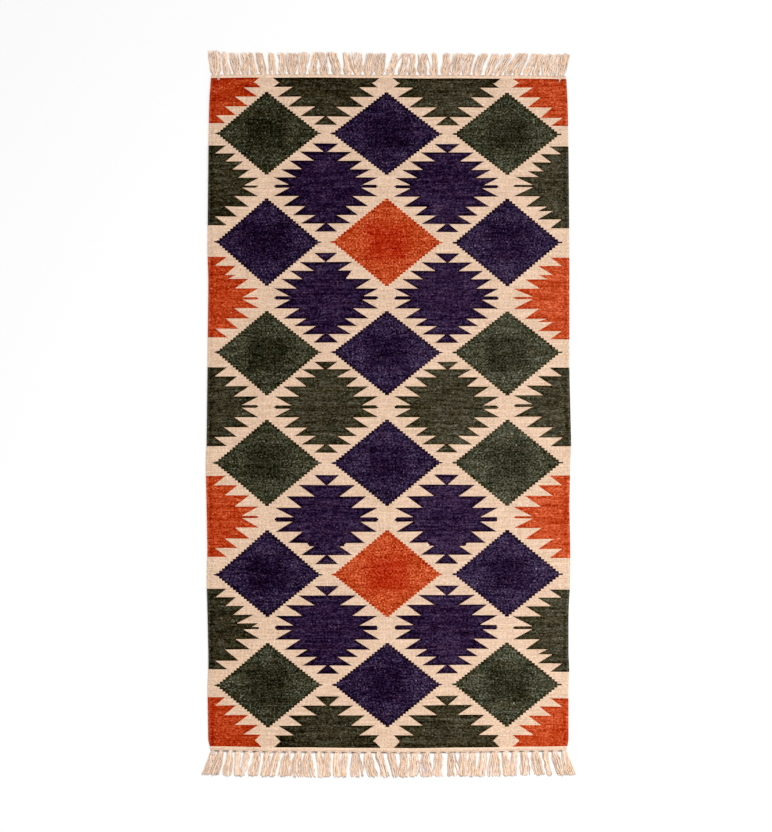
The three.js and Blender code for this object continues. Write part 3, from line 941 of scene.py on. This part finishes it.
def uneven_yarn(n, weave, motifs):
    """How yarn and dye are uneven, about nought: by bead, pick and warp, in streaks and in patches; and the
    painted shade of the beads' relief, lighter where a bead stands high.
    """
    def soft(per_warp, per_pick, layer, detail):
        return n.noise(n.join(weave.warp * per_warp, weave.pick * per_pick, layer), detail=detail)

    values = {name: soft(*settings) for name, settings in SOFT_NOISE.items()}
    values["pick_streak"] = soft(n.between(motifs.in_diamond, *STREAK_PITCH), 0.30, 0, 1.5)
    for name, (bent, turn) in WAVES.items():
        values[name] = n.math("SINE", values[name + "_place"] * bent + weave.pick * turn)
    values["ripple"] *= n.between(motifs.in_diamond, *RIPPLE)
    # Outside the medallions a bead stands out more from the next one across.
    next_bead = n.grain(weave.warp_number + 1, weave.bead_number, 3) * n.between(motifs.in_medallion, -0.6, 0)
    values["bead"] = n.grain(weave.warp_number, weave.bead_number, 3) + next_bead
    values["pick"] = n.grain(n.floor(weave.pick), n.floor(weave.warp / BLOCK["warps"]), 7)
    values["warp"] = n.grain(weave.warp_number, n.floor(weave.pick / BLOCK["picks"]), 11)
    values["salt"] = n.math("POWER", n.grain(weave.warp_number, weave.bead_number, 13) + 0.5, 14)
    # Painted shade of the weave's relief: lighter where a bead stands high, darker between beads.
    values["bead_shade"] = weave.bead - 0.6
    return values


def slow_shades(n, weave, motifs):
    """Tones that follow the rug's outline and the motifs' edges, among them painted shade and painted light.
    from_ and off_: warps or picks away.
    """
    along = weave.pick / (CAD_BOX[1][1] / (PICK * MM))
    # Painted light: the cloth is lighter towards its right selvedge.
    across = (weave.warp - WARPS / 2) / (WARPS / 2)
    values = {"across": across, "along": along, "ends": along * along, "base": 1.0}
    # Painted light on a selvedge's cord and painted shade in the groove beside it.
    from_selvedge = n.math("PINGPONG", weave.warp, WARPS / 2)
    values["off_cord"] = ((from_selvedge - SELVEDGE_CORD / 2) / (SELVEDGE_CORD / 2)).clamped()
    values["off_groove"] = ((from_selvedge - SELVEDGE_CORD) / FADE["groove"]).clamped()
    values["selvedge"] = n.weighted(values, SELVEDGE_SHADE)
    from_band = DYED_HALF - n.math("ABSOLUTE", weave.pick - DYED_MIDDLE)
    values["end_band"] = from_band < 0
    # Painted light along the inner side of each plain end band, where its ridge stands up.
    values["band_ridge_highlight"] = values["end_band"] * (from_band / FADE["lip"] + 1).clamped()

    values["just_outside"] = (1 - motifs.beyond / FADE["outside"]).clamped()
    values["open_ground"] = (motifs.beyond / FADE["ground"]).clamped()
    # Painted shade along a motif's edges and along the straight outer edges of its teeth.
    bare = (motifs.medallion_step > n.attribute("bare_from", "Fac")) * motifs.in_medallion
    by_straight = (1 - n.attribute("picks_off", "Fac") / FADE["straight"]).clamped() * bare
    values["at_edge"] = n.larger((motifs.beyond / FADE["edge"] + 1).clamped(), by_straight)
    # A ring a few warps in, where the dye took differently.
    comes_in = ((motifs.beyond + RING["begins"]) / -RING["comes_in"]).clamped()
    values["further_in"] = comes_in * ((motifs.beyond + RING["ends"]) / RING["dies_out"]).clamped()
    return values


def dyed_weft(n, weave, motifs, values):
    """Diamonds are darkest in their middle, medallions nearly even."""
    medallion = n.tinted(n.attribute("medallion_dye"), EVEN, n.between(weave.phase, *MEDALLION_TONE))
    off_heart = n.larger(motifs.off_diamond / HEART["warps"], (1 - weave.phase) / HEART["phase"])
    off_heart = (values["core"] * HEART["waver"] + off_heart - HEART["from"]) * HEART["steep"]
    off_heart = n.math("SMOOTH_MIN", n.larger(off_heart, 0), 1, 0.1)
    diamond = n.blend(off_heart, n.attribute("heart_dye"), n.attribute("rim_dye"))
    dye = n.blend(motifs.in_diamond, medallion, diamond)

    red, green, _ = n.split(dye)
    shares = {"rim": motifs.in_diamond * off_heart, "diamond": motifs.in_diamond, "green": green, "base": 1.0}
    tone = n.weighted(values, DYED_GRAIN) * n.weighted(shares, GRAIN_SHARE) + n.weighted(values, DYED_TONE)
    # Painted shade along the motifs' edges.
    dye = n.tinted(dye, EDGE_SHADE_TINT, values["at_edge"] * (1 - red * 0.5))
    dye = n.tinted(dye, INNER_TINT, values["further_in"])
    return n.tinted(n.tinted(dye, EVEN, tone), WARMTH_TINT, values["warmth"])


def woven_material():
    n = Nodes(bpy.data.materials.new("woven_cotton"))
    weave = read_weave(n)
    motifs = read_motifs(n, weave)
    values = {**uneven_yarn(n, weave, motifs), **slow_shades(n, weave, motifs)}
    ground = n.tinted(tuple(c / 255 for c in GROUND), GROUND_HUE, values["hue"])
    ground = n.tinted(ground, EVEN, n.weighted(values, PLAIN_TONE))
    colour = n.blend(motifs.dyed, ground, dyed_weft(n, weave, motifs, values))
    finish_cotton(n, colour, weave.bead, bump_distance=0.45 * MM, sheen=0.02)
    return n.owner


def yarn_material():
    n = Nodes(bpy.data.materials.new("fringe_yarn"))
    shade, tone, under = n.split(n.attribute("yarn"))
    place = n.value("TexCoord", {}, "Object")
    fibre = n.noise(place, scale=900, detail=3, roughness=0.6)
    blot = n.noise(place, scale=110, detail=3)
    colour = n.tinted(tuple(c / 255 for c in YARN), YARN_HUE, n.noise(place, scale=45, detail=1))
    colour = n.tinted(colour, EVEN, n.weighted({"tone": tone, "fibre": fibre, "blot": blot}, YARN_TONE))
    # Painted shade on the cords and under the upper strands, painted light on the far roots.
    colour = n.tinted(n.tinted(colour, YARN_SHADE, shade), YARN_UNDER_SHADE, under)
    finish_cotton(n, colour, fibre, bump_distance=0.25 * MM, sheen=0.03)
    return n.owner


def floor_material():
    """Pale floor. Seen directly it reads white, a little brighter far from the rug; its shadow stays."""
    n = Nodes(bpy.data.materials.new("studio_floor"))
    away = n.value("VectorMath", {0: n.value("TexCoord", {}, "Object")}, "Value", operation="LENGTH")
    far_off = ((away - FLOOR["near"]) * FLOOR["rise"]).clamped()
    tone = seen_directly(n) * n.between(far_off, *FLOOR["seen"]) + FLOOR["tone"]
    n.node("OutputMaterial", {"Surface": n.value("BsdfDiffuse", {"Color": n.join(tone, tone, tone)})})
    return n.owner


def seen_directly(n):
    seen = 0
    for ray in ("Is Camera Ray", "Is Glossy Ray", "Is Transmission Ray"):
        seen = n.larger(n.value("LightPath", {}, ray), seen)
    return seen


# ---- studio
LENS = 85
SENSOR = 36
PICTURE_HEIGHT = 1.8426  # metres of floor from the top of the picture to its foot
OFF_CENTRE = (-5.5 * MM, -5.9 * MM)
AMBIENT = 0.44
# Where the sun stands: degrees from upright towards the far end, and how wide it is. across: to the right.
SUN = {"strength": 1.6, "from_far_end": 42, "spread": 14, "away": 4, "across": 0.12}
SIDE_LIGHT = {"place": (1.5, -0.9, 2.2), "size": 1.8, "power": 28}
# tone: what lights the rug from below. seen: how much lighter it looks, by the rug and far from it. near and
# rise: the distance at which that starts, and how much of it is gained in a metre.
FLOOR = {"half": 30, "below": 0.3 * MM, "tone": 0.85, "seen": (0.17, 0.42), "near": 1.3, "rise": 0.2}


def set_camera():
    camera = add_object("camera", bpy.data.cameras.new("camera"))
    camera.data.lens = LENS
    camera.data.sensor_width = SENSOR
    camera.data.clip_end = 50
    camera.location = (*OFF_CENTRE, CAD_BOX[1][2] + PICTURE_HEIGHT * LENS / SENSOR)
    bpy.context.scene.camera = camera


def add_light(name, kind, energy, place, **settings):
    """A light that faces the middle of the rug."""
    light = add_object(name, bpy.data.lights.new(name, kind))
    light.data.energy = energy
    for key, value in settings.items():
        setattr(light.data, key, value)
    light.location = place
    light.rotation_euler = Vector(place).to_track_quat("Z", "Y").to_euler()


def set_studio():
    scene = bpy.context.scene
    scene.view_settings.view_transform = "Standard"
    scene.world = bpy.data.worlds.new("studio")
    n = Nodes(scene.world)
    strength = n.between(seen_directly(n), AMBIENT, 1)
    n.node("OutputWorld", {"Surface": n.value("Background", {"Color": (1, 1, 1, 1), "Strength": strength})})
    tilt = math.radians(SUN["from_far_end"])
    sun_place = (SUN["across"], SUN["away"] * math.sin(tilt), SUN["away"] * math.cos(tilt))
    add_light("sun", "SUN", SUN["strength"], sun_place, angle=math.radians(SUN["spread"]))
    add_light("side", "AREA", SIDE_LIGHT["power"], SIDE_LIGHT["place"], size=SIDE_LIGHT["size"])

    corners = ((-1, -1), (1, -1), (1, 1), (-1, 1))
    points = [(x * FLOOR["half"], y * FLOOR["half"], -FLOOR["below"]) for x, y in corners]
    floor = add_mesh("floor", points, [(0, 1, 2, 3)])
    floor.data.materials.append(floor_material())


def place(piece, material, slot, node):
    piece.data.shade_smooth()
    piece.data.materials.append(material)
    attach(piece, "root")
    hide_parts(node)


set_camera()
set_studio()

cloth = build_cloth()
place(cloth, woven_material(), "woven_cotton", "woven_field")
yarn = yarn_material()
far_fringe = build_fringe(FAR_END)
place(far_fringe, yarn, "fringe_yarn", "fringe_far")
near_fringe = build_fringe(NEAR_END)
place(near_fringe, yarn, "fringe_yarn", "fringe_near")
